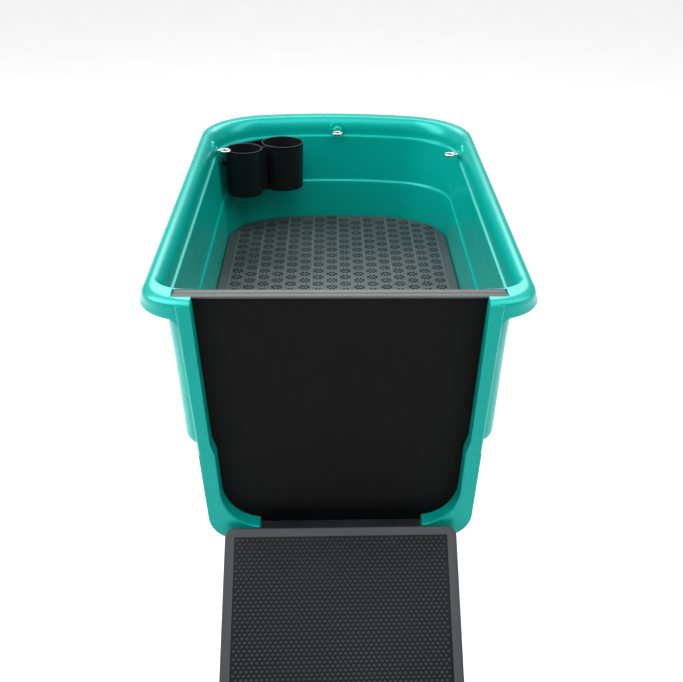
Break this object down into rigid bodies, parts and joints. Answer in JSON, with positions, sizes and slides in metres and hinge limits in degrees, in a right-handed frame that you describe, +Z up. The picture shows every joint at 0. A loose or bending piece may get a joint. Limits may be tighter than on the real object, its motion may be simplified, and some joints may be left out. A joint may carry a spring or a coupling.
{
  "type": "pet bathtub",
  "caption": "Walk-in moulded pet bathtub on a tube stand, with a lift-out front door, hinged ramp, slotted floor rack, bottle caddy, lead eyes and floor drain.",
  "frame": {"origin": "on the ground, on the centre plane, midway between the ramp's tip and the back of the rim", "axes": "+Z up, -Y towards the doorway and ramp, +X to the right seen from the ramp"},
  "size_m": [0.696, 1.8518, 0.9],
  "materials": {
    "tub_plastic": "satin moulded polyethylene",
    "door_plastic": "matt sheet",
    "flange_plastic": "satin",
    "seal_rubber": "matt",
    "rack_plastic": "fine-grained moulded",
    "caddy_plastic": "satin moulded",
    "stainless": "polished stainless",
    "drain_plastic": "moulded",
    "coated_steel": "powder coat",
    "ramp_plastic": "satin moulded",
    "mat_plastic": "raised studs",
    "foot_rubber": "matt"
  },
  "bodies": {
    "tub": {"tub_shell": "tub_plastic", "door_seal": "seal_rubber", "bottle_caddy": "caddy_plastic", "caddy_screws": "stainless", "caddy_nuts": "stainless", "eye_bolt_rear": "stainless", "eye_bolt_left": "stainless", "eye_bolt_right": "stainless", "eye_bolt_washers": "stainless", "eye_bolt_nuts": "stainless", "drain_flange": "stainless", "drain_gasket": "seal_rubber", "drain_locknut": "drain_plastic", "drain_tailpiece": "drain_plastic", "sill_bracket": "coated_steel", "sill_bracket_screws": "stainless", "ramp_hinge_pin": "stainless", "leg_front_left": "coated_steel", "leg_front_right": "coated_steel", "leg_rear_left": "coated_steel", "leg_rear_right": "coated_steel", "side_rail_left": "coated_steel", "side_rail_right": "coated_steel", "cross_tube_front": "coated_steel", "cross_tube_rear": "coated_steel", "rail_screws": "stainless", "leg_tips": "foot_rubber"},
    "door": {"door_panel": "door_plastic", "door_flange": "flange_plastic"},
    "front_rack": {"floor_rack_front": "rack_plastic"},
    "rear_rack": {"floor_rack_rear": "rack_plastic"},
    "strainer": {"drain_strainer": "stainless"},
    "ramp": {"ramp_body": "ramp_plastic", "ramp_mat": "mat_plastic", "ramp_foot_pad": "foot_rubber"}
  },
  "joints": [
    {"name": "door_slide", "type": "slide", "parent": "tub", "child": "door", "axis": [0, 0, 1], "range_m": [0, 0.46]},
    {"name": "ramp_hinge", "type": "hinge", "parent": "tub", "child": "ramp", "pos_m": [0, -0.36614, 0.447], "axis": [-1, 0, 0], "range_deg": [0, 125]},
    {"name": "front_rack_lift", "type": "slide", "parent": "tub", "child": "front_rack", "axis": [0, 0, 1], "range_m": [0, 0.3]},
    {"name": "rear_rack_lift", "type": "slide", "parent": "tub", "child": "rear_rack", "axis": [0, 0, 1], "range_m": [0, 0.1]},
    {"name": "strainer_lift", "type": "slide", "parent": "tub", "child": "strainer", "axis": [0, 0, 1], "range_m": [0, 0.12]}
  ]
}
